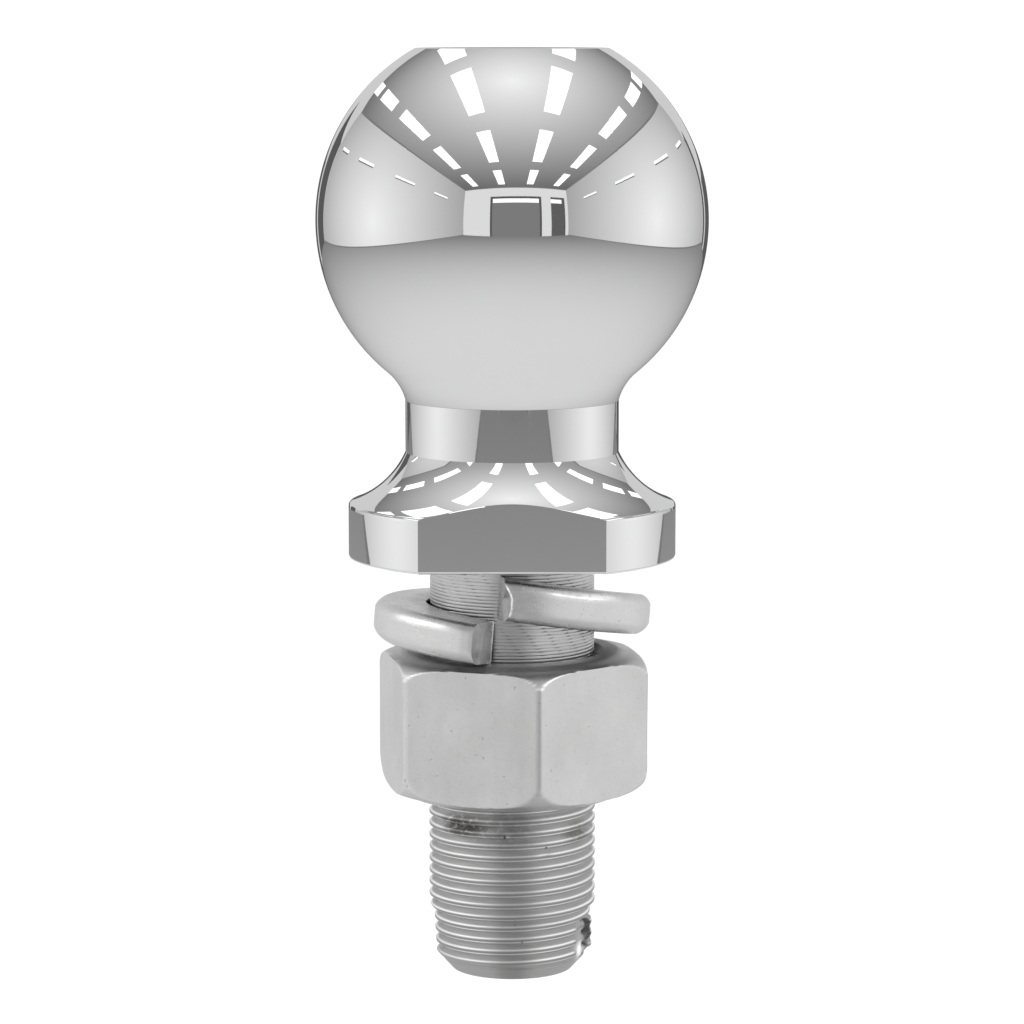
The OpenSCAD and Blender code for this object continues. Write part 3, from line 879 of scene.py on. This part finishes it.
def washer_wear_and_highlights(points, rings, outline):
    """Bright burr on the inner edge of the lower end and on the outer edge of the upper end, and painted
    highlights along two stretches of the upper outer shoulder."""
    inner = outline[:, 0] < WASHER_R0 + 1.5 * MM
    outer = outline[:, 0] > WASHER_R1 - 0.5 * MM
    ends = np.concatenate([rings[0][inner], rings[-1][outer]])
    nearest = np.full(len(points), 1.0)
    for begin in range(0, len(points), 4000):
        some = points[begin:begin + 4000]
        gaps = np.linalg.norm(some[:, None, :] - ends[None, :, :], axis=2)
        nearest[begin:begin + 4000] = gaps.min(1)
    burr = 1 - ease(nearest, 0.12 * MM, 0.45 * MM)
    turn = np.degrees(around(points))
    middles = rings.mean(1)
    ring_turn = np.degrees(around(middles))
    order = np.argsort(ring_turn)
    middle_z = np.interp(turn, ring_turn[order], middles[order, 2])
    shoulder = bell(points[:, 2] - middle_z, 2.2 * MM, 0.36 * MM)
    outside = ease(np.hypot(points[:, 0], points[:, 1]), WASHER_R1 - 2.2 * MM, WASHER_R1 - 1.0 * MM)
    # Painted highlights: the two stretches, left and right, where the shoulder catches the side lights.
    left = ease(turn, -62, -52) * (1 - ease(turn, -34, -22))
    right = ease(turn, 13, 20) * (1 - ease(turn, 42, 56))
    uneven = 0.75 + 0.3 * ripple(points[:, 0] / MM * 0.9, points[:, 2] / MM * 1.3, 77)
    return np.maximum(burr, shoulder * outside * (left + right) * np.clip(uneven, 0, 1))


def washer_grime_and_shade(points, rings):
    """Sheared faces are dark and matt, and the bar beside the hole is darkened with painted shade."""
    share = np.zeros(len(points))
    for end in (0, WASHER_STEPS):
        middle, inward = into_bar(rings, end)
        depth = (points - middle) @ inward
        near = np.linalg.norm(points - middle, axis=1) < 5.5 * MM
        share = np.maximum(share, near * (1 - ease(depth, 0.1 * MM, 1.1 * MM)) * 0.26)
    r = np.hypot(points[:, 0], points[:, 1])
    # Painted shade on the bar near the hole.
    inner = 1 - ease(r, WASHER_R0 + 1.0 * MM, WASHER_R0 + 3.4 * MM)
    return np.maximum(share, inner * 0.75)


def washer_piece(material):
    """The split washer: its bar swept round the shank, with two sheared ends."""
    outline = bar_outline()
    rings = washer_rings(outline)
    verts = rings.reshape(-1, 3).tolist()
    faces = grid_faces(len(rings), len(outline))
    for end in (0, WASHER_STEPS):
        close_end(verts, faces, rings, end)
    build_piece(
        "split_washer", verts, faces, "lock_washer", material, 35,
        lambda points: washer_wear_and_highlights(points, rings, outline), lambda points: washer_grime_and_shade(points, rings),
    )


# ---- Studio: pale floor, soft light, and a light-panelled room that only reflections see ----
def satin_light(n):
    """Light that the satin parts below the collar meet, by direction: brighter to both sides, with a
    soft box high on each side."""
    ray = n.scaled(n.add("ShaderNodeNewGeometry").outputs["Incoming"], -1.0)
    parts = n.add("ShaderNodeSeparateXYZ", {"Vector": ray}).outputs
    front = n.math("MULTIPLY", parts["Y"], -1.0)
    turn = n.math("ABSOLUTE", n.math("ARCTAN2", parts["X"], front))
    turn = n.math("MULTIPLY", turn, 180 / math.pi)
    level = n.math("ADD", 0.46, n.remap(turn, 12, 40, 0, 0.52, True))
    level = n.math("SUBTRACT", level, n.remap(turn, 110, 172, 0, 0.26, True))
    up = n.math("MULTIPLY", n.math("ARCSINE", parts["Z"]), 180 / math.pi)
    level = n.mix(n.remap(up, 12, 70, 0, 1, True), grey_of(n, level), grey(0.42))
    level = n.mix(n.remap(up, -20, -85, 0, 1, True), level, grey(0.52))
    level = n.add("ShaderNodeSeparateColor", {"Color": level}).outputs[0]
    for turn_to, rise, width, gain in ((-91, 36, 24, 1.3), (72, 42, 22, 1.3)):
        a, e = math.radians(turn_to), math.radians(rise)
        aim = (math.sin(a) * math.cos(e), -math.cos(a) * math.cos(e), math.sin(e))
        off = n.math("ARCCOSINE", n.vector("DOT_PRODUCT", ray, aim, out=1))
        off = n.math("MULTIPLY", off, 180 / math.pi)
        level = n.math("ADD", level, n.remap(off, width * 0.4, width * 1.2, gain, 0, True))
    return level


def grey_of(n, value):
    """A value as a grey colour in a node tree."""
    return n.add("ShaderNodeCombineColor", {"Red": value, "Green": value, "Blue": value}).outputs[0]


def emission_material(name, shader_value):
    """A glowing surface: as set for the polished head, and the satin parts' own light for the rest."""
    n = Nodes(name)
    tone = n.mix(n.started_above(), grey_of(n, satin_light(n)), grey_of(n, shader_value(n)))
    glow = n.add("ShaderNodeEmission", {"Color": tone, "Strength": 1.0})
    n.material.cycles.emission_sampling = "NONE"
    return n.finish(glow.outputs[0])


def angle_off(n, direction):
    """Angle between a direction and the line of sight from the ball's centre to the surface."""
    position = n.add("ShaderNodeNewGeometry").outputs["Position"]
    ray = n.vector("NORMALIZE", n.vector("SUBTRACT", position, (0, 0, BALL_Z)))
    return n.math("ARCCOSINE", n.vector("DOT_PRODUCT", ray, direction, out=1))


def lit_surface(name, normal, brightest, loss_per_degree):
    """A room surface that dims with the angle at which the ball sees it."""

    def value(n):
        degrees = n.math("MULTIPLY", angle_off(n, normal), 180 / math.pi)
        level = n.math("SUBTRACT", brightest, n.math("MULTIPLY", degrees, loss_per_degree))
        return n.math("MAXIMUM", level, 0.05)

    return emission_material(name, value)


def lit_floor(name):
    """The floor dims towards the walls."""

    def value(n):
        share = n.math("MULTIPLY", angle_off(n, (0, 0, -1)), 2 / math.pi)
        loss = n.math("MULTIPLY", n.math("POWER", share, 4.5), 0.66)
        return n.math("SUBTRACT", 0.69, loss)

    return emission_material(name, value)


def even_surface(name, level):
    """A room surface of one brightness."""
    return emission_material(name, lambda n: n.math("ADD", level, 0.0))


ROOM_UNIT = 2.4      # height of the room's ceiling above the ball's centre
ROOM_YAW = math.radians(2.2)
ROOM_HALF_X = 1.44   # the rest of the room is in room units
ROOM_FRONT_Y = 2.48
ROOM_BACK_Y = -2.1
ROOM_FLOOR_Z = -0.274


def room_point(x, y, z):
    """A place in the room: x to the right, y towards and past the camera, z up from the ball's centre."""
    c, s = math.cos(ROOM_YAW), math.sin(ROOM_YAW)
    return (ROOM_UNIT * (x * c + y * s), ROOM_UNIT * (x * s - y * c), BALL_Z + ROOM_UNIT * z)


def room_vector(x, y, z):
    """A direction in the room."""
    c, s = math.cos(ROOM_YAW), math.sin(ROOM_YAW)
    return (x * c + y * s, x * s - y * c, z)


def room_quad(name, corners, material):
    """A flat surface that is seen only in reflections."""
    mesh = bpy.data.meshes.new(name)
    mesh.from_pydata([room_point(*c) for c in corners], [], [(0, 1, 2, 3)])
    mesh.materials.append(material)
    quad = new_object(name, mesh)
    quad.visible_camera = False
    quad.visible_diffuse = False
    quad.visible_shadow = False
    quad.visible_transmission = False


def level_quad(name, x0, x1, y0, y1, z, material):
    """Floor, ceiling or panel."""
    room_quad(name, [(x0, y0, z), (x1, y0, z), (x1, y1, z), (x0, y1, z)], material)


def end_wall_quad(name, x0, x1, z0, z1, y, material):
    """Something on the wall ahead or behind."""
    room_quad(name, [(x0, y, z0), (x1, y, z0), (x1, y, z1), (x0, y, z1)], material)


def side_wall_quad(name, y0, y1, z0, z1, x, material):
    """Something on the wall to the left or right."""
    room_quad(name, [(x, y0, z0), (x, y1, z0), (x, y1, z1), (x, y0, z1)], material)


def build_room():
    """Long room with a panelled ceiling, wall lights, and doors at both ends."""
    w, front, back, low = ROOM_HALF_X, ROOM_FRONT_Y, ROOM_BACK_Y, ROOM_FLOOR_Z
    ceiling = lit_surface("room_ceiling", (0, 0, 1), 0.93, 0.0112)
    left = lit_surface("room_left", room_vector(-1, 0, 0), 0.92, 0.0086)
    right = lit_surface("room_right", room_vector(1, 0, 0), 0.92, 0.0086)
    end = even_surface("room_end", 0.74)
    far = even_surface("room_far", 0.62)
    edge = even_surface("room_edge", 0.20)
    frame_dark = even_surface("room_frame", 0.10)
    door = even_surface("room_door", 0.205)
    door_two = even_surface("room_door_two", 0.115)
    panel = even_surface("room_panel", 1.5)
    strip = even_surface("room_strip", 1.3)
    level_quad("room_ceiling", -w, w, back, front, 1.0, ceiling)
    level_quad("room_floor", -w, w, back, front, low, lit_floor("room_floor"))
    side_wall_quad("room_left", back, front, low, 1.0, -w, left)
    side_wall_quad("room_right", back, front, low, 1.0, w, right)
    end_wall_quad("room_end", -w, w, low, 1.0, front, end)
    end_wall_quad("room_far", -w, w, low, 1.0, back, far)
    near = 0.004
    # Four columns and five rows of ceiling panels
    for column in range(4):
        for row in range(5):
            x = -1.03 + 0.69 * column
            y = 1.94 - 0.955 * row
            level_quad(f"room_panel_{column}_{row}", x - 0.08, x + 0.08, y - 0.34, y + 0.34, 1 - near, panel)
    # Wall lights between the rows, each over a thin shade
    for side in (-1, 1):
        for row in range(4):
            y = 1.46 - 0.955 * row
            x = side * (w - near)
            side_wall_quad(f"room_strip_{side}_{row}", y - 0.22, y + 0.22, 0.545, 0.575, x, strip)
            side_wall_quad(f"room_shade_{side}_{row}", y - 0.22, y + 0.22, 0.53, 0.545, x, edge)
    # Recessed door ahead, with a light over it, and a narrow one to its right
    y = front - near
    end_wall_quad("room_door_frame", -0.655, 0.655, low, 0.74, y, frame_dark)
    end_wall_quad("room_door", -0.60, 0.60, low, 0.68, y - near, door)
    end_wall_quad("room_door_light", -0.585, 0.585, 0.575, 0.678, y - 2 * near, strip)
    end_wall_quad("room_side_frame", 0.917, 1.34, low, 0.74, y, frame_dark)
    end_wall_quad("room_side_door", 0.917, 1.29, low, 0.68, y - near, door_two)
    end_wall_quad("room_side_light", 0.917, 1.24, 0.575, 0.678, y - 2 * near, strip)
    # Doors behind the object, seen only along the outlines
    y = back + near
    end_wall_quad("room_far_door", -1.4, -0.75, low, 0.55, y, frame_dark)
    end_wall_quad("room_far_gate", -0.6, 1.1, low, 0.10, y, frame_dark)
    end_wall_quad("room_far_post", 1.22, 1.40, low, 0.50, y, frame_dark)
    # Thin shaded lines where walls meet ceiling and floor
    for z0, z1, tag in ((0.975, 1.0, "top"), (low, low + 0.012, "base")):
        side_wall_quad("room_line_left_" + tag, back, front, z0, z1, -w + near, edge)
        side_wall_quad("room_line_right_" + tag, back, front, z0, z1, w - near, edge)
    end_wall_quad("room_line_end_top", -w, w, 0.975, 1.0, front - near / 2, edge)


def build_floor():
    """Plain pale floor, below the reach of the unscrewed nut."""
    size = 6.0
    mesh = bpy.data.meshes.new("floor")
    corners = [(x * size, y * size, FLOOR_Z) for x, y in ((-1, -1), (1, -1), (1, 1), (-1, 1))]
    mesh.from_pydata(corners, [], [(0, 1, 2, 3)])
    floor = new_object("floor", mesh)
    n = Nodes("pale_floor")
    place = n.add("ShaderNodeTexCoord").outputs["Object"]
    tone = n.mix(n.noise(place, 3.0, 3, 0.5), grey(0.93), grey(0.95))
    shader = n.add("ShaderNodeBsdfDiffuse", {"Color": tone})
    floor.data.materials.append(n.finish(shader.outputs[0]))
    floor.visible_glossy = False


def build_lights():
    """Even white surroundings and one large soft lamp."""
    world = bpy.data.worlds.new("soft_white")
    bpy.context.scene.world = world
    world.use_nodes = True
    background = world.node_tree.nodes["Background"]
    background.inputs["Color"].default_value = (1, 1, 1, 1)
    background.inputs["Strength"].default_value = 1.08
    key = bpy.data.lights.new("key", "AREA")
    key.shape = "DISK"
    key.size = 1.2
    key.energy = 4.0
    lamp = new_object("key", key)
    lamp.location = (-0.7, -0.9, 1.1)
    lamp.rotation_euler = (math.radians(42), 0, math.radians(-38))
    lamp.visible_glossy = False


def build_camera():
    """Straight ahead of the wrench flat, a little above, tilted down."""
    camera = bpy.data.cameras.new("camera")
    camera.sensor_width = 36.0
    camera.lens = CAMERA_LENS
    camera.shift_x, camera.shift_y = CAMERA_SHIFT
    eye = new_object("camera", camera)
    eye.location = (0, -CAMERA_AWAY, CAMERA_Z)
    eye.rotation_euler = (math.pi / 2 - CAMERA_TILT, 0, 0)
    bpy.context.scene.camera = eye


head_piece(chrome_material())
shank_piece(shank_material())
washer_piece(zinc_material("washer_zinc", 0.66, 0.28, 0.8, 0.8))
nut_piece(zinc_material("nut_zinc", 0.63, 0.40, 1.0))
build_room()
build_floor()
build_lights()
build_camera()
bpy.context.scene.view_settings.view_transform = "Standard"
bpy.context.scene.cycles.transparent_max_bounces = 64
